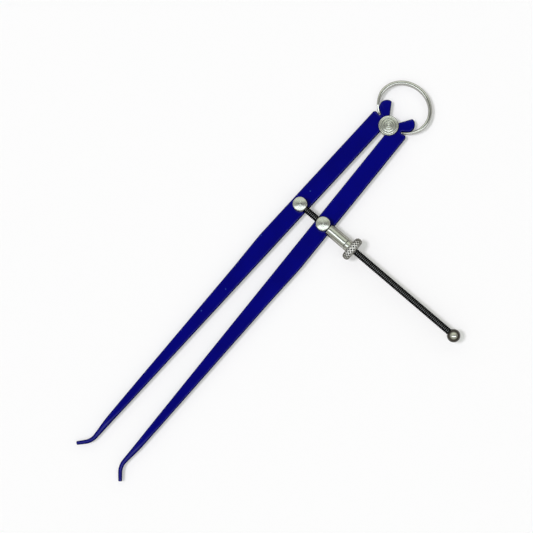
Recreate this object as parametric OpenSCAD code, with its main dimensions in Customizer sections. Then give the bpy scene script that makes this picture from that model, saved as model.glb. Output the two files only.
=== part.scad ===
// Spring inside caliper, ten inch size, for measuring the inside of bores.
// Two painted legs roll on a fulcrum stud. An open ring spring pinches their ears,
// which spreads the toes, and a nut on a threaded screw holds them in.
// The legs lie flat: X runs across them, Y runs from the toes to the spring, Z is up.
// The origin is on the fulcrum axis, at the back face of the fulcrum.

/* [Legs] */
// Height from the fulcrum centre to the toe tips
leg_reach = 254; // [235:1:270]
// Width of the flat bar of a leg
leg_w = 10.5; // [10.2:0.1:11.4]
// Thickness of the flat bar of a leg
leg_t = 4.5; // [3.6:0.1:5.5]
// Angle between the axis and the inner edge of a leg as it lies
leg_splay = 1.92; // [1.8:0.02:4]
// Distance between the inner edges of the legs, level with the fulcrum
leg_gap = 2.94; // [1.2:0.02:3.2]
// Length of full width below the fulcrum, where the taper starts
taper_start = 96; // [84:1:110]
// Length of the first, steeper part of the taper
taper_ease = 24; // [15:1:35]
// Width of a leg at the end of the steeper part
taper_w = 9; // [8:0.1:9.6]
// Radius that eases the corners of the taper
taper_round = 90; // [20:5:120]

/* [Toes] */
// Diameter of the round toe
toe_d = 2.2; // [1.8:0.1:2.5]
// Angle by which the toe turns outward from its leg
toe_turn = 39.2; // [25:0.1:50]
// Radius of the bend of the toe, on its centre line
toe_bend_r = 10; // [8:0.5:14]
// Length of the straight end of the toe
toe_len = 4.9; // [2:0.1:6]
// Length over which the bar slims down to the toe
slim_len = 11; // [8:1:25]
// Width of a leg where the slimming starts
slim_w = 3.95; // [3.6:0.05:4.6]
// Thickness of a leg where the slimming starts
slim_t = 3.2; // [2.8:0.1:3.5]

/* [Ears and notches] */
// Height of an ear above the fulcrum centre
ear_h = 12.2; // [10:0.1:12.4]
// Distance from the axis to the outer corner of an ear
ear_side = 12.1; // [11.4:0.1:12.3]
// Angle between the axis and the inner edge of an ear
ear_angle = 33; // [32.5:0.5:36]
// Distance from the fulcrum centre to the line of an ear's inner edge
ear_offset = 0; // [0:0.05:0.8]
// Height of the outer corner of an ear above the fulcrum centre
ear_corner_h = 6; // [5.9:0.1:7]
// Distance from the axis to the bottom of a notch
notch_x = 7.9; // [7.6:0.1:8.1]
// Height of the lower side of a notch above the fulcrum centre
notch_h = 1.4; // [1.2:0.05:1.5]
// Width of the bottom of a notch
notch_w = 1.2; // [1:0.05:1.5]
// Rise of the shoulder below the notch, from its inner to its outer end
shoulder_rise = 0.85; // [0.3:0.05:1]

/* [Fulcrum] */
// Diameter of the turned disc on the front of the fulcrum
disc_d = 11.6; // [11:0.1:13]
// Thickness of the front disc
disc_t = 1.6; // [1.2:0.1:2.2]
// Diameter of the stud that the legs roll on
stud_d = 6; // [5:0.1:6.6]
// Diameter of the back washer of the fulcrum
fulcrum_washer_d = 11; // [10:0.1:12]
// Thickness of the back washer of the fulcrum
fulcrum_washer_t = 1.2; // [0.9:0.1:1.6]
// Diameter of the riveted tail of the stud
stud_tail_d = 3.4; // [2.6:0.1:4]

/* [Bow spring] */
// Half width of the ring, on the centre line of its strip
ring_half_w = 15.5; // [15.3:0.1:16.5]
// Half height of the ring, on the centre line of its strip
ring_half_h = 13.9; // [13.7:0.1:14.3]
// Height of the ring's centre above the fulcrum centre
ring_rise = 13.7; // [13.6:0.05:13.9]
// Thickness of the strip round the ring
ring_t = 2.7; // [2:0.1:3]
// Thickness of the strip at its tips
ring_tip_t = 0.8; // [0.6:0.05:0.9]
// Depth of the strip, along Z
ring_depth = 5; // [4:0.1:6]
// Angle from the top of the ring to where the strip starts to thin
ring_thin_angle = 100; // [90:1:105]
// Angle from the top of the ring to its tips
ring_tip_angle = 146; // [145:0.5:147]

/* [Swivel posts] */
// Distance from the fulcrum to a post, along the inner edge of its leg
post_reach = 67.8; // [58:0.1:74]
// Distance from the inner edge of a leg to its post
post_side = 4.9; // [4.8:0.1:5.5]
// Diameter of the body of a post
post_d = 8.2; // [7.4:0.1:9]
// Height of a post above the screw's axis
post_top = 3.7; // [3.2:0.1:4.5]
// Radius of the rounded rim on top of a post
post_rim_r = 0.6; // [0.2:0.1:1]
// Diameter of the neck that turns in the leg
neck_d = 5; // [4:0.1:5.6]
// Diameter of the riveted tail behind the leg
tail_d = 3; // [2.4:0.1:3.4]
// Diameter of the riveted head of the tail
tail_head_d = 4.2; // [3.8:0.1:5]
// Thickness of the riveted head of the tail
tail_head_t = 0.35; // [0.2:0.05:0.4]
// Diameter of the washer behind the leg
washer_d = 7.6; // [7:0.1:9]
// Thickness of the washer behind the leg
washer_t = 0.8; // [0.6:0.05:0.85]
// Diameter of the pin that locks the screw in its post
pin_d = 1.2; // [0.9:0.1:1.5]

/* [Screw, sleeve and nut] */
// Outside diameter of the adjusting screw
screw_d = 3.97; // [3.4:0.01:4.4]
// Length of the screw past the centre of its post
screw_len = 115.4; // [100:0.1:125]
// Length of the screw's root on the other side of its post's centre
screw_root = 3; // [2.5:0.1:3.2]
// Diameter of the thrust sleeve
sleeve_d = 7; // [6:0.1:7.4]
// Length of the thrust sleeve
sleeve_len = 12.7; // [8:0.1:16]
// Diameter of the nut's hub
hub_d = 7; // [6:0.1:7.4]
// Length of the nut's hub
hub_len = 2.5; // [1.5:0.1:4]
// Diameter of the nut's crowned rim
rim_d = 14.5; // [12:0.1:16]
// Thickness of the nut's rim
rim_t = 4.35; // [3:0.05:6]
// Height of the crown of the rim over its edges
rim_crown = 1.6; // [0.6:0.1:2]
// Diameter of the ball on the end of the screw
ball_d = 7.7; // [6.8:0.1:9]
// Distance from the ball's centre back to the end of the screw inside it
ball_bore = 0.7; // [0.3:0.1:1.5]

/* [Clearances] */
// Running clearance of a round part in its bore, on the radius
run_fit = 0.05; // [0.02:0.01:0.08]
// Clearance between parts of one assembly that are pressed together, on the radius
seat_fit = 0.02; // [0.01:0.01:0.04]
// Gap between flat faces that slide on each other
face_gap = 0.1; // [0.05:0.01:0.15]
// Gap between the post and the sleeve, and between the sleeve and the nut
thrust_gap = 0.25; // [0.1:0.05:0.3]
// Gap between a leg and the sleeve that lies over it
sleeve_gap = 0.4; // [0.3:0.05:0.6]

/* [Hidden] */

$fn = 64;
// Steps of a rounded corner, and of half of the ring
corner_steps = 8;
ring_steps = 36;
// Small length by which a cut runs past a face
past = 1;

// Heights, from the back face of the fulcrum upwards
leg_z = fulcrum_washer_t + face_gap;
leg_mid_z = leg_z + leg_t / 2;
leg_top_z = leg_z + leg_t;
screw_z = leg_top_z + sleeve_gap + max(sleeve_d, hub_d) / 2;

// The leg's own frame: s runs down its inner edge, w runs outward from it
half_gap = leg_gap / 2;
function leg_point(s, w) = [
    half_gap + s * sin(leg_splay) + w * cos(leg_splay),
    -s * cos(leg_splay) + w * sin(leg_splay)
];

// The toe's centre line starts this far from the inner edge
toe_w = toe_d / 2 + 0.15;
toe_end_angle = leg_splay + toe_turn;
bend_s = (leg_reach + toe_w * sin(leg_splay)
    - toe_bend_r * (sin(toe_end_angle) - sin(leg_splay))
    - toe_len * cos(toe_end_angle)) / cos(leg_splay);
bar_end_s = bend_s - toe_d;
bar_end_w = toe_d + 0.4;
bar_end_t = toe_d + 0.2;
slim_s = bend_s - slim_len;
toe_chamfer = toe_d / 8;
// Length by which the straight end is rooted in the bend
toe_core = toe_d / 4;

// The posts stand at the same distance from the fulcrum on both legs
post = leg_point(post_reach, post_side);
neck_bottom_z = leg_z - face_gap;
washer_z = neck_bottom_z - washer_t;

// Places along the screw, from the axis of the caliper
sleeve_x = post.x + post_d / 2 + thrust_gap;
nut_x = sleeve_x + sleeve_len + thrust_gap;
ball_x = screw_len - post.x - ball_bore;
// The ball is cut flat where it is a little wider than the screw
ball_neck_r = screw_d / 2 + 0.15;
ball_flat = sqrt(pow(ball_d / 2, 2) - pow(ball_neck_r, 2));

// The outer edge of the leg's bar, level with the shoulder
shoulder_x = half_gap + leg_w;

function unit(v) = v / norm(v);

// The arc that rounds the corner q, a point with a radius, between p and t
function corner_arc(p, q, t) =
    let (
        corner = [q.x, q.y],
        to_p = unit([p.x, p.y] - corner),
        to_t = unit([t.x, t.y] - corner),
        half = acos(to_p * to_t) / 2,
        centre = corner + unit(to_p + to_t) * q[2] / sin(half),
        first = corner + to_p * q[2] / tan(half) - centre,
        last = corner + to_t * q[2] / tan(half) - centre,
        start = atan2(first.y, first.x),
        turn = atan2(first.x * last.y - first.y * last.x, first * last)
    )
    q[2] == 0 ? [corner] : [
        for (k = [0 : corner_steps])
            let (a = start + turn * k / corner_steps)
            centre + q[2] * [cos(a), sin(a)]
    ];

// An outline from corners [x, y, radius]
function rounded_outline(corners) =
    let (n = len(corners))
    [
        for (i = [0 : n - 1])
            each corner_arc(corners[(i + n - 1) % n], corners[i], corners[(i + 1) % n])
    ];

// A corner on the leg's bar, with its radius
function bar_corner(s, w, r) = [leg_point(s, w).x, leg_point(s, w).y, r];

// A point on the line of the ear's inner edge, at the height y
function ear_edge(y) = ear_offset / cos(ear_angle) + y * tan(ear_angle);

// The outline of the right leg, up the inner edge, round the ear and down the outer edge
function leg_outline() = rounded_outline([
    bar_corner(bar_end_s, 0, 0),
    [half_gap, 0, 0],
    [ear_edge(1), 1, 0],
    [ear_edge(ear_h), ear_h, 0.8],
    [ear_side - 0.8, ear_h - 1.1, 3.2],
    [ear_side, ear_corner_h, 2.2],
    [notch_x, notch_h + notch_w, 0.25],
    [notch_x, notch_h, 0.25],
    [shoulder_x, notch_h + shoulder_rise, 1],
    bar_corner(taper_start, leg_w, taper_round),
    bar_corner(taper_start + taper_ease, taper_w, taper_round),
    bar_corner(slim_s, slim_w, taper_round),
    bar_corner(bar_end_s, bar_end_w, 0)
]);

// Puts its child in the leg's own frame, with -Y along the inner edge
module in_leg_frame() {
    translate([half_gap, 0, leg_mid_z])
        rotate([0, 0, leg_splay])
            children();
}

// The bar's shape seen from its edge: full, then tapering to the toe
module side_slab() {
    above = ear_h + leg_w;
    across = 2 * leg_w + ear_side;
    translate([-leg_w, 0, 0])
        rotate([90, 0, 90])
            linear_extrude(across)
                polygon([
                    [above, leg_t / 2], [-taper_start, leg_t / 2],
                    [-slim_s, slim_t / 2], [-bar_end_s - past, bar_end_t / 2],
                    [-bar_end_s - past, -bar_end_t / 2], [-slim_s, -slim_t / 2],
                    [-taper_start, -leg_t / 2], [above, -leg_t / 2]
                ]);
}

// The round toe: a straight root inside the bar, the bend and the straight end
module toe() {
    root = 3 * toe_d;
    translate([toe_w, root - bend_s, 0])
        rotate([90, 0, 0])
            cylinder(h = root, d = toe_d);
    translate([toe_w + toe_bend_r, -bend_s, 0]) {
        rotate([0, 0, 180])
            rotate_extrude(angle = toe_turn)
                translate([toe_bend_r, 0])
                    circle(d = toe_d);
        rotate([0, 0, toe_turn])
            translate([-toe_bend_r, 0, 0])
                rotate([90, 0, 0])
                    rotate_extrude()
                        polygon([
                            [0, -toe_core], [toe_d / 4, -toe_core],
                            [toe_d / 4, 0], [toe_d / 2, 0],
                            [toe_d / 2, toe_len - toe_chamfer],
                            [toe_d / 2 - toe_chamfer, toe_len], [0, toe_len]
                        ]);
    }
}

module leg() {
    difference() {
        union() {
            intersection() {
                translate([0, 0, leg_z - past])
                    linear_extrude(leg_t + 2 * past)
                        polygon(leg_outline());
                in_leg_frame() side_slab();
            }
            in_leg_frame() toe();
        }
        // The round seat that rolls on the stud
        translate([0, 0, leg_z - past])
            cylinder(h = leg_t + 2 * past, d = stud_d + 2 * run_fit);
        // The bore that the swivel post turns in
        translate([post.x, post.y, leg_z - past])
            cylinder(h = leg_t + 2 * past, d = neck_d + 2 * run_fit);
    }
}

module right_leg() {
    color("mediumblue") leg();
}

module left_leg() {
    color("mediumblue") mirror([1, 0, 0]) leg();
}

// The stud: turned disc with a bevelled rim, body between the legs, riveted tail
module fulcrum_stud() {
    bevel = disc_t / 4;
    disc_z = leg_top_z + face_gap;
    color("gainsboro")
        rotate_extrude()
            polygon([
                [0, 0], [stud_tail_d / 2, 0], [stud_tail_d / 2, fulcrum_washer_t],
                [stud_d / 2, fulcrum_washer_t], [stud_d / 2, disc_z],
                [disc_d / 2, disc_z], [disc_d / 2, disc_z + disc_t - bevel],
                [disc_d / 2 - bevel, disc_z + disc_t], [0, disc_z + disc_t]
            ]);
}

module fulcrum_washer() {
    color("silver")
        difference() {
            cylinder(h = fulcrum_washer_t, d = fulcrum_washer_d);
            translate([0, 0, -past])
                cylinder(h = fulcrum_washer_t + 2 * past, d = stud_tail_d + 2 * seat_fit);
        }
}

// A point of the ring at the angle a from its top, moved outward by out
function ring_point(a, out) =
    let (normal = unit([sin(a) / ring_half_w, cos(a) / ring_half_h]))
    [ring_half_w * sin(a), ring_rise + ring_half_h * cos(a)] + out * normal;

// Half of the strip's thickness, which thins towards the tips
function ring_half_t(a) =
    let (
        thin = max(0, abs(a) - ring_thin_angle) / (ring_tip_angle - ring_thin_angle)
    )
    (ring_t + (ring_tip_t - ring_t) * thin) / 2;

function ring_side(side) = [
    for (k = [-ring_steps : ring_steps])
        let (a = side * ring_tip_angle * k / ring_steps)
        ring_point(a, side * ring_half_t(a))
];

module bow_spring() {
    color("lightgray")
        translate([0, 0, leg_mid_z - ring_depth / 2])
            linear_extrude(ring_depth)
                polygon(concat(ring_side(1), ring_side(-1)));
}

// A post on its own axis, standing over the leg, with its neck and riveted tail
module post_body() {
    body_z = leg_top_z + face_gap;
    top_z = screw_z + post_top;
    r = post_d / 2;
    rotate_extrude()
        polygon(concat(
            [
                [0, washer_z - tail_head_t], [tail_head_d / 2, washer_z - tail_head_t],
                [tail_head_d / 2, washer_z], [tail_d / 2, washer_z],
                [tail_d / 2, neck_bottom_z], [neck_d / 2, neck_bottom_z],
                [neck_d / 2, body_z], [r, body_z]
            ],
            [
                for (k = [0 : corner_steps])
                    let (a = 90 * k / corner_steps)
                    [r - post_rim_r * (1 - cos(a)), top_z - post_rim_r * (1 - sin(a))]
            ],
            [[0, top_z]]
        ));
}

// A cylinder along X, from x1 to x2, on the screw's height
module along_x(x1, x2, d) {
    translate([x1, 0, screw_z])
        rotate([0, 90, 0])
            cylinder(h = x2 - x1, d = d);
}

// The pin runs along Y through the post and the screw
module lock_pin(d, length) {
    translate([0, length / 2, screw_z])
        rotate([90, 0, 0])
            cylinder(h = length, d = d);
}

module post_washer() {
    difference() {
        translate([0, 0, washer_z])
            cylinder(h = washer_t, d = washer_d);
        translate([0, 0, washer_z - past])
            cylinder(h = washer_t + 2 * past, d = tail_d + 2 * seat_fit);
    }
}

module left_post() {
    color("gainsboro")
        translate([-post.x, post.y, 0])
            difference() {
                post_body();
                along_x(-screw_root - seat_fit, post_d, screw_d + 2 * seat_fit);
                lock_pin(pin_d + 2 * seat_fit, 2 * post_d);
            }
}

module left_post_washer() {
    color("silver") translate([-post.x, post.y, 0]) post_washer();
}

module screw_lock_pin() {
    // The pin stops just inside the round of the post
    color("dimgray")
        translate([-post.x, post.y, 0])
            lock_pin(pin_d, post_d - 0.2);
}

module right_post() {
    color("gainsboro")
        translate([post.x, post.y, 0])
            difference() {
                post_body();
                along_x(-post_d, post_d, screw_d + 2 * run_fit);
            }
}

module right_post_washer() {
    color("silver") translate([post.x, post.y, 0]) post_washer();
}

module adjusting_screw() {
    color([0.1, 0.1, 0.12])
        translate([-post.x, post.y, 0])
            difference() {
                along_x(-screw_root, screw_len, screw_d);
                lock_pin(pin_d + 2 * seat_fit, 2 * screw_d);
            }
}

module end_ball() {
    color("gainsboro")
        difference() {
            translate([ball_x, post.y, screw_z])
                rotate([0, 90, 0])
                    sphere(d = ball_d);
            translate([ball_x - ball_flat - ball_d, post.y - ball_d, screw_z - ball_d])
                cube([ball_d, 2 * ball_d, 2 * ball_d]);
            translate([0, post.y, 0])
                along_x(ball_x - ball_d, ball_x + ball_bore + seat_fit, screw_d + 2 * seat_fit);
        }
}

module thrust_sleeve() {
    color("gainsboro")
        translate([0, post.y, 0])
            difference() {
                along_x(sleeve_x, sleeve_x + sleeve_len, sleeve_d);
                along_x(sleeve_x - past, sleeve_x + sleeve_len + past, screw_d + 2 * run_fit);
            }
}

// The nut turned about the screw: hub, then the crowned rim
module adjusting_nut() {
    rim_edge_r = rim_d / 2 - rim_crown;
    bore_r = screw_d / 2 + run_fit;
    color("gainsboro")
        translate([nut_x, post.y, screw_z])
            rotate([0, 90, 0])
                rotate_extrude()
                    polygon(concat(
                        [[bore_r, 0], [hub_d / 2, 0], [hub_d / 2, hub_len]],
                        [
                            for (k = [0 : 2 * corner_steps])
                                let (a = 90 * (k / corner_steps - 1))
                                [
                                    rim_edge_r + rim_crown * cos(a),
                                    hub_len + rim_t / 2 * (1 + sin(a))
                                ]
                        ],
                        [[bore_r, hub_len + rim_t]]
                    ));
}

left_leg();
right_leg();
fulcrum_stud();
fulcrum_washer();
bow_spring();
left_post();
left_post_washer();
screw_lock_pin();
right_post();
right_post_washer();
adjusting_screw();
end_ball();
thrust_sleeve();
adjusting_nut();
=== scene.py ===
"""Looks of a spring inside caliper: painted legs, turned steel, a threaded screw and a ring spring.

Lengths are millimetres until a mesh is made, and metres in Blender.
The legs lie flat: X runs across them, Y from the toes to the spring, Z up.
"""
import math

import bmesh
import bpy
import numpy as np
from mathutils import Matrix, Vector
from mathutils.geometry import tessellate_polygon


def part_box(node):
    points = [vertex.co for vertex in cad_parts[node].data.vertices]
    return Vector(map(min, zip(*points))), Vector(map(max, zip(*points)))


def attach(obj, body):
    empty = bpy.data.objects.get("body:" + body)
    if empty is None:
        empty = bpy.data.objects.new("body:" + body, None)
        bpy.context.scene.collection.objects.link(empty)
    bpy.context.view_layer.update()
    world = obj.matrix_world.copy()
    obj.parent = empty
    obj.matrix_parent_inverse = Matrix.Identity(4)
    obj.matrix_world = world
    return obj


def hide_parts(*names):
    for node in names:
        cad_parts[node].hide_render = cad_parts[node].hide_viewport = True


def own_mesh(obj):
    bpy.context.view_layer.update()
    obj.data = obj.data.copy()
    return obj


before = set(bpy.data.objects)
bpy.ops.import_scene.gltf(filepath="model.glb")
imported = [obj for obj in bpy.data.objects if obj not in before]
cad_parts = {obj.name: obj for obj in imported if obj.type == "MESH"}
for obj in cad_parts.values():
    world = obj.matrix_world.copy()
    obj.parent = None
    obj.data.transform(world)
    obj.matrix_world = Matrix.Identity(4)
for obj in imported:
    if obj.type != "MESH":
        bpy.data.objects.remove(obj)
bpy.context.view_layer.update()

MM = 0.001
# Points closer than this, in metres, are one point
SAME_POINT = 2e-6


def corners(node):
    """Lowest and highest corner of a node, in millimetres."""
    low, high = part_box(node)
    return np.array(low) / MM, np.array(high) / MM


# Places taken from the frame
leg_low, leg_high = corners("right_leg")
stud_low, stud_high = corners("fulcrum_stud")
ring_low, ring_high = corners("bow_spring")
post_low, post_high = corners("right_post")
screw_low, screw_high = corners("adjusting_screw")
sleeve_low, sleeve_high = corners("thrust_sleeve")
nut_low, nut_high = corners("adjusting_nut")
ball_low, ball_high = corners("end_ball")
pin_low, pin_high = corners("screw_lock_pin")

LEG_BOTTOM, LEG_TOP = leg_low[2], leg_high[2]
LEG_MIDDLE = (LEG_BOTTOM + LEG_TOP) / 2
# The fulcrum washer's top, and the underside of the posts' washers
WASHER_TOP = corners("fulcrum_washer")[1][2]
BACK_WASHER_LOW = corners("right_post_washer")[0][2]
# The right post's middle, and the screw's axis
POST = (post_low + post_high) / 2
SCREW_Y = (screw_low[1] + screw_high[1]) / 2
SCREW_Z = (screw_low[2] + screw_high[2]) / 2
SCREW_R = (screw_high[2] - screw_low[2]) / 2

# Clearances: round what turns or slides, round what is pressed in, and beside the legs' faces
RUN_FIT, PRESS_FIT, FACE_GAP = 0.05, 0.02, 0.1

# Leg: its own frame has s down the inner edge and w outward from it. Its lean from the middle line,
# its distance from that line beside the fulcrum, and the round of its edges
SPLAY, HALF_GAP, EDGE_ROUND = math.radians(1.92), 1.47, 0.75
# Where the head's outline ends and the swept bar begins
CUT_S = 80
# Toe: its radius at the bend and at the tip, the place, turn and length of its centre line, and
# the bend's own radius
TOE_ROOT_R, TOE_R, TOE_END_ROUND = 1.3, 1.08, 0.45
TOE_W, TOE_TURN, TOE_LEN, BEND_R = 1.25, math.radians(39.2), 4.9, 10
# How far down Y the toe's tip lies, and how much of that is the toe
LEG_REACH = 254
TOE_DROP = BEND_R * (math.sin(SPLAY + TOE_TURN) - math.sin(SPLAY)) + TOE_LEN * math.cos(SPLAY + TOE_TURN)
BEND_S = (LEG_REACH + TOE_W * math.sin(SPLAY) - TOE_DROP) / math.cos(SPLAY)
# The bar is slimmest just above the bend
SLIM_S, SLIM_W, SLIM_T = BEND_S - 11, 3.95, 3.2
# The leg's width at the fulcrum, where its taper starts, and where the taper grows gentler
HEAD_W, TAPER_W, GENTLE_W = 10.57, 10.5, 9
TAPER_S, GENTLE_S = 96, 120
# A station past the bend, up to which the smoothing of the bar's sizes reads them
PAST_BEND_S = BEND_S + 9
# The stretch over which the bar's edges grow until its section is round
ROUNDING_S = (SLIM_S - 20, BEND_S - 8)
# Ear: slope of its inner edge, its outer side's round and where that starts, its corners, and the
# notch below it
EAR_ANGLE, EAR_TOP, EAR_TIP_ROUND = math.radians(33), 12.1, 0.8
EAR_CENTRE, EAR_R, EAR_R_START = (7.6, 7.6), 4.5, 68
EAR_CORNERS = ((12.1, 7.0, 2), (11.35, 4.95, 1.5))
NOTCH_X, NOTCH_H, NOTCH_W, NOTCH_ROUND = 7.9, 1.4, 1.05, 0.25
SHOULDER = (12.02, 2.25, 1.5)

# The fulcrum's stud and its riveted tail; a post's neck, its riveted tail and the tail's head
STUD_R, STUD_TAIL_R = 3, 1.7
NECK_R, TAIL_R, TAIL_HEAD_R = 2.5, 1.5, 2.1
# Slope in degrees of a post's domed top where it meets the rim, and the rim's round
POST_SLOPE, POST_RIM = 15, 0.6
# Nut: its hub's radius and length, and how far its rim swells
HUB_R, HUB_LEN, RIM_CROWN = 3.5, 2.5, 1.6
# Knurl: steps and lines round the rim, its depth, and the width of a diamond across the rim
KNURL_STEPS, KNURL_LINES, KNURL_DEPTH, KNURL_PITCH = 440, 22, 0.36, 2.5
# Thread: steps in a turn, and its profile as shares of the pitch and of the depth
THREAD_PITCH, THREAD_DEPTH, THREAD_STEPS = 25.4 / 24, 0.36, 28
THREAD_SHARE = np.array([0, 0.13, 0.24, 0.38, 0.5, 0.62, 0.76, 0.87])
THREAD_HEIGHT = np.array([1, 0.98, 0.55, 0.06, 0, 0.06, 0.55, 0.98])

# Ring: half width and half height of its oval, and how far the oval's middle is up the Y axis
RING_HALF_W, RING_HALF_H, RING_RISE = 15.5, 13.9, 13.7
# The strip's thickness and that of its tips, and where it starts to thin and ends, in degrees
RING_T, RING_TIP_T, RING_THIN, RING_TIP = 2.7, 0.8, 96, 146
# The strip looks thinner than its room in the frame, and keeps to that room's outer side
RING_SLIM = 0.4
# How far the top of each tip slopes down, over this many degrees, and the rounds of the strip
RING_DROP, RING_DROP_ANGLE, RING_EDGE, RING_END_ROUND = 1.1, 20, 0.85, 0.3


# Meshes

def make_piece(name, points, faces, uv=None, mixed=False):
    """A mesh piece from points in millimetres; doubles merge, and faces are turned outward.

    Faces that were made in several sets may be mixed, and are then turned one by one.
    """
    mesh = bpy.data.meshes.new(name)
    mesh.from_pydata((np.asarray(points, float) * MM).tolist(), [], [list(map(int, f)) for f in faces])
    if uv is not None:
        mesh.uv_layers.new(name="surface").uv.foreach_set("vector", np.asarray(uv, np.float32).ravel())
    work = bmesh.new()
    work.from_mesh(mesh)
    bmesh.ops.remove_doubles(work, verts=work.verts, dist=SAME_POINT)
    if mixed:
        bmesh.ops.recalc_face_normals(work, faces=work.faces)
    elif work.calc_volume(signed=True) < 0:
        bmesh.ops.reverse_faces(work, faces=work.faces)
    work.to_mesh(mesh)
    work.free()
    mesh.shade_smooth()
    piece = bpy.data.objects.new(name, mesh)
    bpy.context.scene.collection.objects.link(piece)
    return piece


def even_shading(piece, sharp_degrees):
    """Flat faces stay flat beside their rounded edges, and edges past the angle stay sharp."""
    piece.data.set_sharp_from_angle(angle=math.radians(sharp_degrees))
    shading = piece.modifiers.new("even_shading", "WEIGHTED_NORMAL")
    shading.keep_sharp = True
    shading.weight = 80


def quad_grid(rows, columns, wrap_rows, wrap_columns):
    """Quads of a grid, and the row and column of each of their corners before wrapping."""
    i, j = np.meshgrid(
        np.arange(rows - (not wrap_rows)), np.arange(columns - (not wrap_columns)), indexing="ij"
    )
    at = [(i, j), (i + 1, j), (i + 1, j + 1), (i, j + 1)]
    index = np.stack([(a % rows) * columns + b % columns for a, b in at], -1).reshape(-1, 4)
    places = np.stack([np.stack([a, b], -1) for a, b in at], 2).reshape(-1, 2)
    return index, places


def grid_piece(name, points, wrap_rows, wrap_columns):
    """A piece from a grid of points. U is the share of the rows, V the millimetres along a row."""
    rows, columns = points.shape[:2]
    faces, places = quad_grid(rows, columns, wrap_rows, wrap_columns)
    steps = np.linalg.norm(np.diff(points, axis=1, append=points[:, :1]), axis=2).mean(0)
    along = np.concatenate([[0], np.cumsum(steps)])
    uv = np.stack([places[:, 0] / rows, along[places[:, 1]]], 1)
    return make_piece(name, points.reshape(-1, 3), faces, uv)


def arc(centre, radius, start, end, steps):
    """Points on an arc, from the start angle to the end angle in degrees."""
    a = np.radians(np.linspace(start, end, steps + 1))
    return np.array(centre) + radius * np.stack([np.cos(a), np.sin(a)], 1)


def turned_points(profile, centre, axis, steps):
    """A profile of radius and height turned about an axis: (r cos a, r sin a, h) at equal steps of a."""
    a = np.linspace(0, 2 * np.pi, steps, endpoint=False)[:, None]
    r, h = np.asarray(profile, float).T
    across, up, along = r * np.cos(a), r * np.sin(a), np.broadcast_to(h, (steps, len(h)))
    order = (across, up, along) if axis == "z" else (along, across, up)
    return np.array(centre, float) + np.stack(order, -1)


def turned(name, profile, centre, axis="z", steps=96, tube=False):
    """A turned piece: a profile with its ends on the axis, or the closed profile of a tube."""
    return grid_piece(name, turned_points(profile, centre, axis, steps), True, tube)


def rounded_section(half_w, half_t, radius, steps=5):
    """A rounded rectangle for each station, as across and up: a quarter arc at each corner."""
    a = np.radians(np.linspace(90, 0, steps + 1))
    out = half_w[:, None] - radius[:, None] * (1 - np.cos(a))
    up = half_t[:, None] - radius[:, None] * (1 - np.sin(a))
    across = np.concatenate([-out, -out[:, ::-1], out, out[:, ::-1]], 1)
    lift = np.concatenate([up, -up[:, ::-1], -up, up[:, ::-1]], 1)
    return across, lift


def swept_points(centres, sides, half_w, half_t, radius):
    """Carries the rounded section along a path that lies flat: centre + across * side + lift * Z."""
    across, lift = rounded_section(half_w, half_t, radius)
    return (
        centres[:, None, :] + across[..., None] * sides[:, None, :]
        + lift[..., None] * np.array([0, 0, 1.0])
    )


def rounded_path(points):
    """A line through (x, y, radius) corners, each replaced by its arc."""
    path = []
    for k, (x, y, r) in enumerate(points):
        here = np.array([x, y])
        if r == 0:
            path.append(here[None])
            continue
        to_last = np.array(points[k - 1][:2]) - here
        to_next = np.array(points[k + 1][:2]) - here
        to_last /= np.linalg.norm(to_last)
        to_next /= np.linalg.norm(to_next)
        half = math.acos(to_last @ to_next) / 2
        centre = here + (to_last + to_next) / np.linalg.norm(to_last + to_next) * r / math.sin(half)
        first = here + to_last * r / math.tan(half) - centre
        last = here + to_next * r / math.tan(half) - centre
        start = math.degrees(math.atan2(first[1], first[0]))
        turn = math.degrees(math.atan2(first[0] * last[1] - first[1] * last[0], first @ last))
        path.append(arc(centre, r, start, start + turn, 8))
    return np.concatenate(path)


def inset_path(path, inset):
    """The path moved to its right by the inset, along the bisector of the edges at each point."""
    edge = np.diff(path, axis=0)
    edge /= np.linalg.norm(edge, axis=1)[:, None]
    normal = np.stack([edge[:, 1], -edge[:, 0]], 1)
    before, after = np.vstack([normal[:1], normal]), np.vstack([normal, normal[-1:]])
    return path + inset * (before + after) / (1 + (before * after).sum(1))[:, None]


# Legs

def leg_point(s, w):
    """A point of the right leg's own frame, s down its inner edge and w outward, as X and Y."""
    s, w = np.asarray(s, float), np.asarray(w, float)
    return np.stack([
        HALF_GAP + s * math.sin(SPLAY) + w * math.cos(SPLAY),
        -s * math.cos(SPLAY) + w * math.sin(SPLAY),
    ], -1)


def head_path():
    """The leg's outline from the cut up the inner edge, round the stud's seat and the ear, and down."""
    seat = STUD_R + RUN_FIT
    # The inner edge meets the seat where its distance from the fulcrum is the seat's radius
    s_seat = -HALF_GAP * math.sin(SPLAY) + math.sqrt(seat**2 - (HALF_GAP * math.cos(SPLAY))**2)
    low = leg_point(s_seat, 0)
    low_angle = math.degrees(math.atan2(low[1], low[0]))
    ear_angle = 90 - math.degrees(EAR_ANGLE)
    seat_arc = arc((0, 0), seat, low_angle, ear_angle, 10)
    crown = [(x, y, 0) for x, y in arc(EAR_CENTRE, EAR_R, EAR_R_START, 0, 12)]
    outer = leg_point(CUT_S, bar_width(CUT_S))
    ear = rounded_path([
        (*seat_arc[-1], 0), (EAR_TOP * math.tan(EAR_ANGLE), EAR_TOP, EAR_TIP_ROUND),
        *crown, *EAR_CORNERS,
        (NOTCH_X, NOTCH_H + NOTCH_W, NOTCH_ROUND), (NOTCH_X, NOTCH_H, NOTCH_ROUND),
        SHOULDER, (*outer, 0),
    ])
    return np.concatenate([leg_point(CUT_S, 0)[None], seat_arc[:-1], ear])


def smoothed(s, stations, values, reach=3):
    """Linear values along s, averaged over the reach, so that their corners become arcs."""
    shifts = np.linspace(-reach, reach, 9)
    return np.mean([np.interp(s + d, stations, values) for d in shifts], axis=0)


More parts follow.
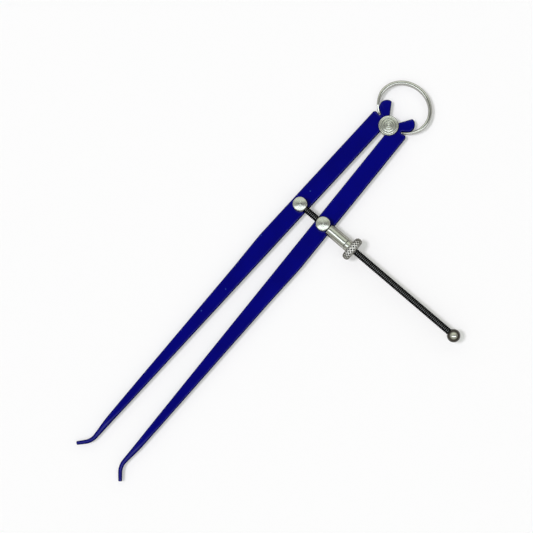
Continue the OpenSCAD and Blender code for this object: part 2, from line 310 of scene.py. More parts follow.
def bar_width(s):
    """Width of the leg at s, from its inner edge to its outer one."""
    toe = TOE_W + TOE_ROOT_R
    stations = (0, TAPER_S, GENTLE_S, SLIM_S, BEND_S, PAST_BEND_S)
    return smoothed(s, stations, (HEAD_W, TAPER_W, GENTLE_W, SLIM_W, toe, toe))


def bar_stations():
    """Stations of the straight bar: centre in s and w, turn, half width, half thickness, edge.

    Width and thickness change evenly from one named station to the next.
    """
    # Closer together where the section becomes round
    s = np.concatenate([np.linspace(CUT_S, SLIM_S - 12, 37)[1:], np.linspace(SLIM_S - 11, BEND_S, 30)])
    toe_inner = TOE_W - TOE_ROOT_R
    inner = smoothed(s, (0, SLIM_S, BEND_S, PAST_BEND_S), (0, 0, toe_inner, toe_inner))
    outer = bar_width(s)
    leg_t, toe_t = LEG_TOP - LEG_BOTTOM, 2 * TOE_ROOT_R
    thickness = smoothed(
        s, (0, TAPER_S, SLIM_S, BEND_S, PAST_BEND_S), (leg_t, leg_t, SLIM_T, toe_t, toe_t)
    )
    half_w, half_t = (outer - inner) / 2, thickness / 2
    # The rounded edges grow until the section is a circle
    full = np.minimum(half_w, half_t)
    share = np.clip((s - ROUNDING_S[0]) / (ROUNDING_S[1] - ROUNDING_S[0]), 0, 1)
    edge = EDGE_ROUND + (full - EDGE_ROUND) * share**1.5
    return np.stack([s, (inner + outer) / 2, 0 * s, half_w, half_t, edge], 1)


def toe_stations():
    """Stations of the round toe: along its bend, along its straight end, and round its tip.

    At a turn of a, the bend of radius R has gone R sin a along and R (1 - cos a) outward. At a lean of
    a, the round R of the tip's edge has narrowed it by R (1 - cos a), at R (1 - sin a) before its end.
    """
    # The radius falls evenly from the bend to the tip
    turn = np.linspace(0, TOE_TURN, 17)[1:]
    run = BEND_R * TOE_TURN + TOE_LEN
    bend_r = TOE_ROOT_R + (TOE_R - TOE_ROOT_R) * BEND_R * turn / run
    bend_s, bend_w = BEND_S + BEND_R * np.sin(turn), TOE_W + BEND_R * (1 - np.cos(turn))
    bend = np.stack([bend_s, bend_w, turn, bend_r, bend_r, bend_r], 1)

    # Three stations of the straight end, then those round the tip and in its middle
    lean = np.radians(np.linspace(0, 90, 7))
    shank = np.array([1.2, 2.4, 3.6])
    reach = np.concatenate([shank, TOE_LEN - TOE_END_ROUND * (1 - np.sin(lean)), [TOE_LEN]])
    radius = np.concatenate([np.full(3, TOE_R), TOE_R - TOE_END_ROUND * (1 - np.cos(lean)), [0]])
    radius += (bend_r[-1] - TOE_R) * np.clip(1 - reach / (TOE_LEN - TOE_END_ROUND), 0, 1)
    end_s, end_w = bend_s[-1] + reach * math.cos(TOE_TURN), bend_w[-1] + reach * math.sin(TOE_TURN)
    end = np.stack([end_s, end_w, np.full_like(reach, TOE_TURN), radius, radius, radius], 1)
    return np.concatenate([bend, end])


def head_points(path):
    """The outline carried over the leg's rounded edges: rows along it, columns from top to bottom."""
    a = np.radians(np.linspace(90, 0, 6))
    inset, drop = EDGE_ROUND * (1 - np.cos(a)), EDGE_ROUND * (1 - np.sin(a))
    insets = np.concatenate([inset, inset[::-1]])
    heights = np.concatenate([LEG_TOP - drop, LEG_BOTTOM + drop[::-1]])
    return np.stack([
        np.column_stack([inset_path(path, i), np.full(len(path), z)]) for i, z in zip(insets, heights)
    ], 1)


def bar_points():
    """The rounded section carried down the bar and round the toe, one row for each station."""
    s, w, turn, half_w, half_t, edge = np.concatenate([bar_stations(), toe_stations()]).T
    centres = np.column_stack([leg_point(s, w), np.full_like(s, LEG_MIDDLE)])
    sides = np.column_stack([leg_point(-np.sin(turn), np.cos(turn)) - leg_point(0, 0), 0 * s])
    return swept_points(centres, sides, half_w, half_t, edge)


def flat_faces(outline, outline_ids, bore, bore_ids):
    """Triangles between an outline and the bore in it, as the given numbers of their points."""
    loops = [[Vector((*p, 0)) for p in outline], [Vector((*p, 0)) for p in bore]]
    ids = np.concatenate([outline_ids, bore_ids])
    return [[ids[k] for k in triangle] for triangle in tessellate_polygon(loops)]


def leg_mesh():
    """Points and faces of the right leg: the head with the post's bore, then the bar and the toe."""
    head = head_points(head_path())
    rows, columns = head.shape[:2]
    head_ids = np.arange(rows * columns).reshape(rows, columns)
    faces = quad_grid(rows, columns, False, False)[0].tolist()

    bore = arc(POST[:2], NECK_R + RUN_FIT, 0, 360, 32)[:-1]
    bore_top = rows * columns + np.arange(len(bore))
    bore_low = bore_top + len(bore)
    after = np.roll(np.arange(len(bore)), -1)
    faces += np.stack([bore_top, bore_top[after], bore_low[after], bore_low], 1).tolist()
    faces += flat_faces(head[:, 0, :2], head_ids[:, 0], bore, bore_top)
    faces += flat_faces(head[:, 0, :2], head_ids[:, -1], bore, bore_low)

    # The bar's first row joins the section at which the head is cut
    bar = bar_points()
    bar_ids = bore_low[-1] + 1 + np.arange(bar.shape[0] * bar.shape[1]).reshape(bar.shape[:2])
    seam = np.concatenate([head_ids[0], head_ids[-1, ::-1]])
    loops = np.vstack([seam[None], bar_ids])
    here, there = loops[:-1], loops[1:]
    quads = np.stack([here, there, np.roll(there, -1, 1), np.roll(here, -1, 1)], -1)
    faces += quads.reshape(-1, 4).tolist()
    points = np.concatenate([
        head.reshape(-1, 3),
        np.column_stack([bore, np.full(len(bore), LEG_TOP)]),
        np.column_stack([bore, np.full(len(bore), LEG_BOTTOM)]),
        bar.reshape(-1, 3),
    ])
    return points, faces


def make_leg(side):
    """The painted leg of one side; the left one is the right one with X turned over."""
    points, faces = leg_mesh()
    if side == "left":
        points = points * [-1, 1, 1]
    return make_piece(f"{side}_painted_leg", points, faces, mixed=True)


# Turned pieces

def low_corner(r, h, edge, steps=4):
    """The rounded outer corner at the low end of a turned profile, outward and up."""
    return arc((r - edge, h + edge), edge, -90, 0, steps)


def high_corner(r, h, edge, steps=4):
    """The rounded outer corner at the high end of a turned profile, up and inward."""
    return arc((r - edge, h - edge), edge, 0, 90, steps)


def turned_face(start, apex, bulge_r, height, pitch, step=0.07, fade_w=0.4):
    """A turned face from the radius start to its centre: a shallow dome with turning rings on it.

    The height is apex - R + sqrt(R^2 - r^2) + height * sin(2 pi r / pitch), with R the bulge's radius.
    The rings fade out over fade_w millimetres at both ends.
    """
    r = np.linspace(start, 0, int(start / step))
    fade = np.clip((start - r) / fade_w, 0, 1) * np.clip(r / fade_w, 0, 1)
    rings = height * fade * np.sin(2 * np.pi * r / pitch)
    return np.stack([r, apex - bulge_r + np.sqrt(bulge_r**2 - r**2) + rings], 1)


def make_stud():
    """The fulcrum's stud with its front disc: a rounded rim, turned rings and a centre mark."""
    rim, top = stud_high[0], stud_high[2]
    bottom, disc_low = stud_low[2], LEG_TOP + FACE_GAP
    # The face starts inside the rim's round, and lies a little below the rim's top
    rim_w, face_drop = 0.95, 0.06
    face = turned_face(rim - rim_w, top - face_drop, bulge_r=65, height=0.028, pitch=1.32)
    # The drilled mark at the centre
    mark_r, mark_depth = 0.5, 0.16
    face[:, 1] -= mark_depth * np.clip(1 - face[:, 0] / mark_r, 0, 1)
    rim_round = 0.48
    profile = np.concatenate([
        [(0, bottom)], low_corner(STUD_TAIL_R, bottom, 0.15),
        [(STUD_TAIL_R, WASHER_TOP), (STUD_R - 0.1, WASHER_TOP)],
        [(STUD_R, WASHER_TOP + 0.1), (STUD_R, disc_low)],
        low_corner(rim, disc_low, 0.25, 5),
        arc((rim - rim_round, top - 0.5), rim_round, 0, 84, 9),
        # The step from the rim down to the face
        [(rim - 0.7, top - 0.03), (rim - 0.82, top - 0.12)], face,
    ])
    return turned("turned_fulcrum_stud", profile, (0, 0, 0))


def make_washer(name, node, pin_r):
    """A flat washer with rounded edges in the place of a node, pressed on a pin."""
    low, high = corners(node)
    middle = (low + high) / 2
    r, z0, z1, edge = (high[0] - low[0]) / 2, low[2], high[2], 0.18
    bore = pin_r + PRESS_FIT
    profile = np.concatenate([
        [(bore, z1 - edge), (bore + edge, z1)], high_corner(r, z1, edge)[::-1],
        low_corner(r, z0, edge)[::-1], [(bore + edge, z0), (bore, z0 + edge)],
    ])
    return turned(name, profile, (middle[0], middle[1], 0), tube=True, steps=72)


def post_profile():
    """A post as radius and height, from its riveted tail up its neck and body to its domed top."""
    r = (post_high[0] - post_low[0]) / 2
    # The turning rings stay under the node's own top
    top, bottom = post_high[2] - 0.01, post_low[2]
    body_low, neck_low = LEG_TOP + FACE_GAP, LEG_BOTTOM - FACE_GAP
    # The dome meets the rim's round at the slope
    slope = math.radians(POST_SLOPE)
    dome_r = r - POST_RIM * (1 - math.sin(slope))
    bulge_r = dome_r / math.sin(slope)
    rim_z = top - bulge_r * (1 - math.cos(slope)) - POST_RIM * math.cos(slope)
    tail_round = 0.25
    return np.concatenate([
        [(0, bottom), (TAIL_HEAD_R - 2 * tail_round, bottom + 0.02)],
        arc((TAIL_HEAD_R - tail_round, bottom + 0.02 + tail_round), tail_round, -70, 0, 4),
        [(TAIL_HEAD_R, BACK_WASHER_LOW), (TAIL_R, BACK_WASHER_LOW)],
        [(TAIL_R, neck_low), (NECK_R, neck_low), (NECK_R, body_low)],
        low_corner(r, body_low, 0.2),
        [(r, z) for z in np.linspace(body_low + 1, rim_z - 0.2, 6)],
        arc((r - POST_RIM, rim_z), POST_RIM, 0, 90 - POST_SLOPE, 9)[:-1],
        turned_face(dome_r, top, bulge_r, height=0.003, pitch=0.9),
    ])


def make_post(side):
    """A swivel post with the screw's cross hole, which goes right through on the right side only."""
    x = POST[0] if side == "right" else -POST[0]
    post = turned(f"turned_{side}_post", post_profile(), (x, POST[1], 0), steps=80)
    hole_r, past = SCREW_R + RUN_FIT, post_high[0] - post_low[0]
    start = -past if side == "right" else screw_low[0] - PRESS_FIT - x
    hole = turned(
        "cross_hole", [(0, start), (hole_r, start), (hole_r, past), (0, past)],
        (x, SCREW_Y, SCREW_Z), "x", 48,
    )
    return drilled(post, hole)


def drilled(piece, cutter):
    """The piece less the cutter, which is then removed."""
    cut = piece.modifiers.new("drill", "BOOLEAN")
    cut.object, cut.operation, cut.solver = cutter, "DIFFERENCE", "EXACT"
    bpy.context.view_layer.update()
    ready = piece.evaluated_get(bpy.context.evaluated_depsgraph_get())
    mesh = bpy.data.meshes.new_from_object(ready)
    piece.modifiers.clear()
    piece.data = mesh
    mesh.name = piece.name
    bpy.data.objects.remove(cutter)
    return piece


def make_sleeve():
    """The plain thrust sleeve: a tube along the screw with rounded ends."""
    r, edge = (sleeve_high[2] - sleeve_low[2]) / 2, 0.22
    bore, bevel = SCREW_R + RUN_FIT, 0.15
    x0, x1 = sleeve_low[0], sleeve_high[0]
    profile = np.concatenate([
        [(bore, x0 + bevel), (bore + bevel, x0)], low_corner(r, x0, edge),
        [(r, x) for x in np.linspace(x0 + 1, x1 - 1, 8)],
        high_corner(r, x1, edge), [(bore + bevel, x1), (bore, x1 - bevel)],
    ])
    return turned("turned_thrust_sleeve", profile, (0, SCREW_Y, SCREW_Z), "x", tube=True)


def groove(x):
    """1 on a groove's line, falling evenly to 0 midway between two lines."""
    return np.abs(2 * (x - np.floor(x)) - 1)


def knurl_recess(crown, lean):
    """How deep the diamonds lie over the rim's crown, from 0 to 1: (groove(u + v) + groove(u - v)) / 2.

    u counts the lines round the rim and v those across it, so the crossings of two grooves are
    deepest. Both sets fade out towards the rim's faces, where the lean nears 90 degrees.
    """
    u = np.linspace(0, KNURL_LINES, KNURL_STEPS, endpoint=False)[:, None]
    across = np.concatenate([[0], np.cumsum(np.linalg.norm(np.diff(crown, axis=0), axis=1))])
    v = (across - across[-1] / 2) / KNURL_PITCH
    fade = np.clip((np.cos(lean) - 0.08) / 0.25, 0, 1)
    return (groove(u + v) + groove(u - v)) / 2 * fade


def make_nut():
    """The adjusting nut: a plain hub and a crowned rim, into which the knurl is sunk."""
    bore, x0, x1 = SCREW_R + RUN_FIT, nut_low[0], nut_high[0]
    rim_x = x0 + HUB_LEN
    half_t = (x1 - rim_x) / 2
    crown_r = nut_high[2] - SCREW_Z - RIM_CROWN
    # The rim's flat faces lie just inside its crown
    near_x, far_x, face_r = rim_x + 0.02, x1 - 0.02, crown_r - 0.25
    bevel, fillet, far_bevel = 0.2, 0.15, 0.3
    hub = np.concatenate([
        [(bore, x0 + bevel), (bore + bevel, x0)], low_corner(HUB_R, x0, bevel),
        [(HUB_R, rim_x - 0.5), (HUB_R, rim_x - fillet), (HUB_R + fillet, near_x)],
        [(r, near_x) for r in np.linspace(HUB_R + 0.5, face_r, 4)],
    ])
    lean = np.radians(np.linspace(-90, 90, 57))
    crown = np.stack([crown_r + RIM_CROWN * np.cos(lean), rim_x + half_t * (1 + np.sin(lean))], 1)
    far_face = [(r, far_x) for r in np.linspace(face_r, bore + far_bevel, 5)]
    profile = np.concatenate([hub, crown, far_face, [(bore, x1 - far_bevel)]])
    points = turned_points(profile, (0, SCREW_Y, SCREW_Z), "x", KNURL_STEPS)

    recess = np.full(points.shape[:2], -1.0)
    recess[:, len(hub):len(hub) + len(crown)] = knurl_recess(crown, lean)
    inward = np.array([rim_x + half_t, SCREW_Y, SCREW_Z]) - points
    inward /= np.linalg.norm(inward, axis=2)[..., None]
    points += KNURL_DEPTH * np.maximum(recess, 0)[..., None] * inward
    nut = grid_piece("knurled_nut", points, True, True)
    mark_recess(nut, recess)
    return nut


def mark_recess(piece, recess):
    """Keeps how deep each point lies as the attribute recess: 0 to 1, or -1 outside the pattern."""
    if len(piece.data.vertices) != recess.size:
        raise ValueError(f"{piece.name} lost points, so its recess can't be kept")
    kept = piece.data.attributes.new("recess", "FLOAT", "POINT")
    kept.data.foreach_set("value", recess.astype(np.float32).ravel())


def make_ball():
    """The ball on the end of the screw, cut flat where the screw enters its bore."""
    r = (ball_high[2] - ball_low[2]) / 2
    bore, bore_end = SCREW_R + PRESS_FIT, screw_high[0] + PRESS_FIT
    # The flat is a little wider than the bore
    flat = math.degrees(math.asin((bore + 0.13) / r))
    sphere = arc((0, ball_high[0] - r), r, -90 + flat, 90, 44)
    sphere[-1, 0] = 0
    mouth = sphere[0, 1]
    inside = [(0, bore_end), (bore, bore_end), (bore, mouth + 0.1), (bore + 0.05, mouth)]
    profile = np.concatenate([inside, sphere])
    return turned("turned_end_ball", profile, (0, SCREW_Y, SCREW_Z), "x")


def thread_faces(rows, columns):
    """Faces of a thread: its strip, the joins between its turns, and a fan at each end.

    Column j of the profile in turn t meets column 0 of turn t + 1, so the thread is unbroken. The
    middles of the two ends are the last two points.
    """
    index = np.arange(rows * columns).reshape(rows, columns)
    strip = np.stack([index[:-1, :-1], index[1:, :-1], index[1:, 1:], index[:-1, 1:]], -1)
    tail = rows - THREAD_STEPS
    here, there = index[:tail, -1], index[THREAD_STEPS:, 0]
    joins = np.stack([here[:-1], here[1:], there[1:], there[:-1]], -1)
    start = np.concatenate([index[:THREAD_STEPS + 1, 0], index[0, :0:-1]])
    end = np.concatenate([index[tail - 1:, -1], index[-1, -2::-1]])
    start_fan = np.stack([np.roll(start, -1), start, np.full(len(start), index.size)], 1)
    end_fan = np.stack([end, np.roll(end, -1), np.full(len(end), index.size + 1)], 1)
    return [*strip.reshape(-1, 4).tolist(), *joins.tolist(), *start_fan.tolist(), *end_fan.tolist()]


def make_screw():
    """The adjusting screw: one thread profile carried round a helix, x = pitch * (turns + share)."""
    rows = int(((screw_high[0] - screw_low[0]) / THREAD_PITCH - 1) * THREAD_STEPS) + 1
    i = np.arange(rows)[:, None]
    # The thread runs out over its first turn and its last one
    fade = np.clip(np.minimum(i, rows - 1 - i) / THREAD_STEPS, 0, 1)
    recess = 1 - THREAD_HEIGHT * fade
    r = SCREW_R - THREAD_DEPTH * recess
    a = 2 * np.pi * i / THREAD_STEPS
    x = screw_low[0] + THREAD_PITCH * (i / THREAD_STEPS + THREAD_SHARE)
    points = np.stack([x, SCREW_Y + r * np.cos(a), SCREW_Z + r * np.sin(a)], -1).reshape(-1, 3)
    middles = [(screw_low[0], SCREW_Y, SCREW_Z), (screw_high[0], SCREW_Y, SCREW_Z)]
    faces = thread_faces(rows, len(THREAD_SHARE))
    screw = make_piece("threaded_screw", np.vstack([points, middles]), faces, mixed=True)
    mark_recess(screw, np.append(recess, [0.0, 0.0]))
    return screw


def make_pin():
    """The short pin across the left post, with rounded ends."""
    r, edge = (pin_high[0] - pin_low[0]) / 2, 0.15
    y0, y1 = pin_low[1], pin_high[1]
    profile = np.concatenate([[(0, y0)], low_corner(r, y0, edge), high_corner(r, y1, edge), [(0, y1)]])
    # Turned about X, then laid along Y
    points = turned_points(profile, (0, 0, 0), "x", 32)[..., [1, 0, 2]]
    points += [(pin_low[0] + pin_high[0]) / 2, 0, SCREW_Z]
    return grid_piece("turned_lock_pin", points, True, False)


# Bow spring

def ring_stations():
    """Stations of the strip: centres, sides, half widths and half thicknesses.

    The oval at the angle a from its top is (W sin a, rise + H cos a), and the strip's centre line
    lies outside it by half of what the strip is slimmer by.
    """
    a = np.linspace(-RING_TIP, RING_TIP, 181)
    # The strip thins towards its tips, a little faster at first
    thin = np.clip((np.abs(a) - RING_THIN) / (RING_TIP - RING_THIN), 0, 1)**0.8
    slim = RING_SLIM * (1 - thin) / 2
    # The top slopes down over the last part of each end
    drop = np.clip((np.abs(a) - RING_TIP + RING_DROP_ANGLE) / RING_DROP_ANGLE, 0, 1) * RING_DROP
    half_w = (RING_T + (RING_TIP_T - RING_T) * thin) / 2 - slim
    half_t = (ring_high[2] - ring_low[2] - drop) / 2
    t = np.radians(a)
    sides = np.stack([np.sin(t) / RING_HALF_W, np.cos(t) / RING_HALF_H, 0 * t], 1)
    sides /= np.linalg.norm(sides, axis=1)[:, None]
    oval = np.stack([
        RING_HALF_W * np.sin(t), RING_RISE + RING_HALF_H * np.cos(t), LEG_MIDDLE - drop / 2
    ], 1)
    return oval + slim[:, None] * sides, sides, half_w, half_t


def rounded_end(centre, side, half_w, half_t, way):
    """Stations that round off one end of the strip: the section shrinks as the strip runs out.

    At a lean of a it has shrunk by R (1 - cos a), and lies R (1 - sin a) before the end.
    """
    lean = np.radians(np.linspace(0, 90, 6))[1:]
    run = way * np.array([side[1], -side[0], 0])
    shrink = RING_END_ROUND * (1 - np.cos(lean))
    ahead = RING_END_ROUND * (np.sin(lean) - 1)
    # The last station closes the end in its middle
    centres = centre + np.append(ahead, 0)[:, None] * run
    sides = np.repeat(side[None], len(centres), 0)
    return centres, sides, np.append(half_w - shrink, 0), np.append(half_t - shrink, 0)


def make_ring():
    """The bow spring: a rounded strip on an oval, thinning to its rounded tips."""
    strip = ring_stations()
    first = rounded_end(*(values[0] for values in strip), -1)
    last = rounded_end(*(values[-1] for values in strip), 1)
    centres, sides, half_w, half_t = (
        np.concatenate([p[::-1], q[1:-1], r]) for p, q, r in zip(first, strip, last)
    )
    edge = np.minimum(np.minimum(half_w, half_t), RING_EDGE)
    points = swept_points(centres, sides, half_w, half_t, edge)
    return grid_piece("bow_spring_strip", points, False, True)


# Shader nodes

def feed(tree, socket, value):
    """Sets a socket to a value, or links another node's socket to it."""
    if isinstance(value, bpy.types.NodeSocket):
        tree.links.new(value, socket)
    else:
        socket.default_value = value


def add(tree, kind, inputs=None, **settings):
    """A new node with these settings, its inputs fed with values or other nodes' sockets."""
    node = tree.nodes.new(kind)
    for key, value in settings.items():
        setattr(node, key, value)
    for key, value in (inputs or {}).items():
        feed(tree, node.inputs[key], value)
    return node


def new_group(name, inputs, outputs):
    """An empty node group with these number sockets, and its input and output nodes."""
    tree = bpy.data.node_groups.new(name, "ShaderNodeTree")
    for way, labels in (("INPUT", inputs), ("OUTPUT", outputs)):
        for label in labels:
            tree.interface.new_socket(name=label, in_out=way, socket_type="NodeSocketFloat")
    return tree, tree.nodes.new("NodeGroupInput"), tree.nodes.new("NodeGroupOutput")


def put_group(tree, group, inputs):
    """The outputs of a node group placed in a material with that material's own values."""
    return add(tree, "ShaderNodeGroup", inputs, node_tree=group).outputs


def maths(tree, operation, a, b=0.0, c=0.0, clamp=False):
    """The result of one sum."""
    node = add(tree, "ShaderNodeMath", {0: a, 1: b, 2: c}, operation=operation, use_clamp=clamp)
    return node.outputs[0]


def ramp(tree, value, low, high, to_low=0.0, to_high=1.0):
    """Maps low..high smoothly to to_low..to_high."""
    return add(tree, "ShaderNodeMapRange", {
        "Value": value, "From Min": low, "From Max": high, "To Min": to_low, "To Max": to_high,
    }, interpolation_type="SMOOTHSTEP").outputs["Result"]


def mix(tree, factor, a, b):
    """The colour a where the factor is 0, and b where it is 1."""
    return add(tree, "ShaderNodeMix", {0: factor, 6: a, 7: b}, data_type="RGBA").outputs[2]


def noise(tree, place, scale, detail):
    """Cloudy noise from 0 to 1."""
    node = add(tree, "ShaderNodeTexNoise", {"Vector": place, "Scale": scale, "Detail": detail})
    return node.outputs["Fac"]


def tone(red, green=None, blue=None):
    """A colour with its alpha; one value alone is a grey."""
    return (red, red, red, 1) if green is None else (red, green, blue, 1)


def turning_group():
    """Fine marks of the lathe: noise that changes quickly along V and slowly round U."""
    tree, given, out = new_group("turning_marks", ("Along", "Round"), ("Height", "Shade"))
    uv = add(tree, "ShaderNodeUVMap", uv_map="surface").outputs[0]
    split = add(tree, "ShaderNodeSeparateXYZ", {0: uv})
    angle = maths(tree, "MULTIPLY", split.outputs["X"], 2 * math.pi)
    # U goes round a circle, so that the marks meet at the seam
    round_x = maths(tree, "MULTIPLY", maths(tree, "COSINE", angle), given.outputs["Round"])
    round_y = maths(tree, "MULTIPLY", maths(tree, "SINE", angle), given.outputs["Round"])
    along = maths(tree, "MULTIPLY", split.outputs["Y"], given.outputs["Along"])
    place = add(tree, "ShaderNodeCombineXYZ", {"X": round_x, "Y": round_y, "Z": along}).outputs[0]
    tree.links.new(noise(tree, place, 1.0, 3.0), out.inputs["Height"])
    tree.links.new(noise(tree, place, 0.22, 2.0), out.inputs["Shade"])
    return tree


def grain_group():
    """Cloudy wear and fine grain at a real scale, in grains for each metre of the object."""
    tree, given, out = new_group("grain", ("Fine", "Cloud"), ("Height", "Cloud"))
    place = add(tree, "ShaderNodeTexCoord").outputs["Object"]
    cloud = noise(tree, place, given.outputs["Cloud"], 3.0)
    tree.links.new(noise(tree, place, given.outputs["Fine"], 4.0), out.inputs["Height"])
    tree.links.new(ramp(tree, cloud, 0.3, 0.7), out.inputs["Cloud"])
    return tree


def speck_group():
    """Sparse specks of dust in paint: the middles of cells, in few cells picked by their own colour."""
    tree, given, out = new_group("specks", ("Scale", "Size", "Share"), ("Mask",))
    place = add(tree, "ShaderNodeTexCoord").outputs["Object"]
    cell = add(tree, "ShaderNodeTexVoronoi", {"Vector": place, "Scale": given.outputs["Scale"]})
    near = maths(tree, "LESS_THAN", cell.outputs["Distance"], given.outputs["Size"])
    chosen = add(tree, "ShaderNodeSeparateColor", {0: cell.outputs["Color"]}).outputs[0]
    few = maths(tree, "LESS_THAN", chosen, given.outputs["Share"])
    tree.links.new(maths(tree, "MULTIPLY", near, few), out.inputs["Mask"])
    return tree


TURNING, GRAIN, SPECKS = turning_group(), grain_group(), speck_group()


def new_material(name, **sockets):
    """A material with one Principled shader, and its node tree."""
    material = bpy.data.materials.new(name)
    material.use_nodes = True
    tree = material.node_tree
    shader = tree.nodes["Principled BSDF"]
    for key, value in sockets.items():
        shader.inputs[key.replace("_", " ")].default_value = value
    return material, tree, shader


def set_bump(tree, shader, height, distance, strength=1.0):
    """Feeds the shader's normal with a bump of this height in metres."""
    bump = add(tree, "ShaderNodeBump", {"Height": height, "Distance": distance, "Strength": strength})
    tree.links.new(bump.outputs["Normal"], shader.inputs["Normal"])


def turned_away(tree, start, full, to_start=0.0, to_full=1.0):
    """Changes from one value to another as the surface turns away from the viewer."""
    facing = add(tree, "ShaderNodeLayerWeight", {"Blend": 0.5}).outputs["Facing"]
    return ramp(tree, facing, start, full, to_start, to_full)


def painted_edge_shade(tree, value, shade_colour, start=0.14, full=0.6):
    """Painted shade: moves a colour to its shade colour where the surface turns away from the viewer."""
    return mix(tree, turned_away(tree, start, full), value, shade_colour)


def paint_material():
    """Deep blue enamel under a thin gloss that leaves the sides, with a few specks of dust."""
    material, tree, shader = new_material(
        "blue_enamel", Roughness=0.5, Specular_IOR_Level=0.0, Coat_IOR=1.4, Coat_Roughness=0.07
    )
    height, cloud = put_group(tree, GRAIN, {"Fine": 900.0, "Cloud": 60.0})
    specks = put_group(tree, SPECKS, {"Scale": 420.0, "Size": 0.16, "Share": 0.02})[0]
    blue = mix(tree, cloud, tone(0.0, 0.0, 0.15), tone(0.0, 0.0003, 0.18))
    # Painted shade: the blue darkens to near black where the leg turns away from the viewer, on its sides
    # and the toes' rounds
    blue = painted_edge_shade(tree, blue, tone(0.0, 0.0, 0.025), 0.12, 0.65)
    tree.links.new(mix(tree, specks, blue, tone(0.03, 0.07, 0.34)), shader.inputs["Base Color"])
    tree.links.new(turned_away(tree, 0.05, 0.3, 1.0, 0.0), shader.inputs["Coat Weight"])
    set_bump(tree, shader, height, 0.00002, 0.3)
    return material


def steel_material(name, colour, rough, marks, anisotropy, edge=(0.2, 0.19, 0.15), fall=(0.14, 0.6)):
    """Turned steel: lathe marks round the axis, which spread a highlight across them.

    The marks' height is in millimetres. The colour moves to the edge colour over the fall, from
    where the surface starts to turn away from the viewer to where it has turned away: painted shade
    and painted dark reflection.
    """
    material, tree, shader = new_material(
        name, Metallic=1.0, Anisotropic=anisotropy, Anisotropic_Rotation=0.25
    )
    height, shade = put_group(tree, TURNING, {"Along": 3.5, "Round": 0.5})
    dark = tone(*(c * 0.93 for c in colour))
    steel = mix(tree, ramp(tree, shade, 0.3, 0.7), dark, tone(*colour))
    # Painted shade and painted dark reflection where the steel turns away from the viewer
    steel = painted_edge_shade(tree, steel, tone(*edge), *fall)
    tree.links.new(steel, shader.inputs["Base Color"])
    cloud = put_group(tree, GRAIN, {"Fine": 2500.0, "Cloud": 350.0})[1]
    tree.links.new(ramp(tree, cloud, 0, 1, rough, rough + 0.02), shader.inputs["Roughness"])
    tangent = add(tree, "ShaderNodeTangent", direction_type="UV_MAP", uv_map="surface")
    tree.links.new(tangent.outputs[0], shader.inputs["Tangent"])
    set_bump(tree, shader, height, marks * MM)
    return material


def turned_steels():
    """The turned finishes: of the posts and washers, of the fulcrum's disc, of the sleeve, of the ball."""
    return (
        steel_material("turned_steel", (0.86, 0.89, 0.82), rough=0.24, marks=0.002, anisotropy=0.75),
        steel_material("disc_steel", (0.84, 0.86, 0.79), rough=0.22, marks=0.0006, anisotropy=0.4),
        steel_material("polished_steel", (0.78, 0.8, 0.74), rough=0.18, marks=0.0008, anisotropy=0.6),
        # The ball's rim is painted nearly black: painted dark reflection and painted shade
        steel_material(
            "ball_steel", (0.8, 0.8, 0.72), rough=0.16, marks=0.001, anisotropy=0.5,
            edge=(0.05, 0.045, 0.035), fall=(0.06, 0.3),
        ),
    )


def spring_material():
    """Polished spring steel, a little cloudy, with a fine grain."""
    material, tree, shader = new_material("polished_spring_steel", Metallic=1.0)
    height, cloud = put_group(tree, GRAIN, {"Fine": 1800.0, "Cloud": 260.0})
    steel = mix(tree, cloud, tone(0.88, 0.89, 0.84), tone(0.96, 0.97, 0.93))
    # Painted shade and painted dark reflection: darker where the strip turns away from the viewer
    steel = painted_edge_shade(tree, steel, tone(0.12, 0.11, 0.08), 0.2, 0.7)
    tree.links.new(steel, shader.inputs["Base Color"])
    tree.links.new(ramp(tree, cloud, 0, 1, 0.08, 0.14), shader.inputs["Roughness"])
    set_bump(tree, shader, height, 0.00003, 0.5)
    return material


def knurl_material():
    """Bright knurled steel with painted shade in the pits, and plain steel where the attribute recess is
    -1.
    """
    material, tree, shader = new_material("knurled_steel")
    recess = add(tree, "ShaderNodeAttribute", attribute_name="recess").outputs["Fac"]
    cloud = put_group(tree, GRAIN, {"Fine": 2500.0, "Cloud": 500.0})[1]
    crest = mix(tree, cloud, tone(0.88, 0.89, 0.85), tone(0.95, 0.96, 0.94))
    # Painted shade and painted dark reflection where the crests and the hub turn away from the viewer
    crest = painted_edge_shade(tree, crest, tone(0.13, 0.12, 0.08), 0.1, 0.5)
    # Painted shade: the pits are near black, where the knurl's hollows lie in shade
    knurl = mix(tree, ramp(tree, recess, 0.5, 0.68), crest, tone(0.015, 0.015, 0.012))
    hub = painted_edge_shade(tree, tone(0.78, 0.8, 0.74), tone(0.2, 0.19, 0.15))
    plain = ramp(tree, recess, -0.4, -0.8)
    tree.links.new(mix(tree, plain, knurl, hub), shader.inputs["Base Color"])
    tree.links.new(ramp(tree, recess, 0, 1, 0.22, 0.5), shader.inputs["Roughness"])
    tree.links.new(maths(tree, "MULTIPLY_ADD", plain, 0.55, 0.45), shader.inputs["Metallic"])
    return material


def black_material():
    """Black oxide: nearly black, with an oily gloss on the crests, read from the attribute recess."""
    material, tree, shader = new_material(
        "black_oxide", Roughness=0.6, Specular_IOR_Level=0.0, Coat_IOR=2.8, Coat_Roughness=0.19
    )
    height, cloud = put_group(tree, GRAIN, {"Fine": 3000.0, "Cloud": 400.0})
    black = mix(tree, cloud, tone(0.0015, 0.0015, 0.002), tone(0.003, 0.003, 0.005))
    tree.links.new(black, shader.inputs["Base Color"])
    recess = add(tree, "ShaderNodeAttribute", attribute_name="recess").outputs["Fac"]
    crest = ramp(tree, recess, 0.02, 0.12, 1.0, 0.0)
    facing = turned_away(tree, 0.02, 0.2, 1.0, 0.0)
    tree.links.new(maths(tree, "MULTIPLY", crest, facing), shader.inputs["Coat Weight"])
    set_bump(tree, shader, height, 0.00002, 0.4)
    return material


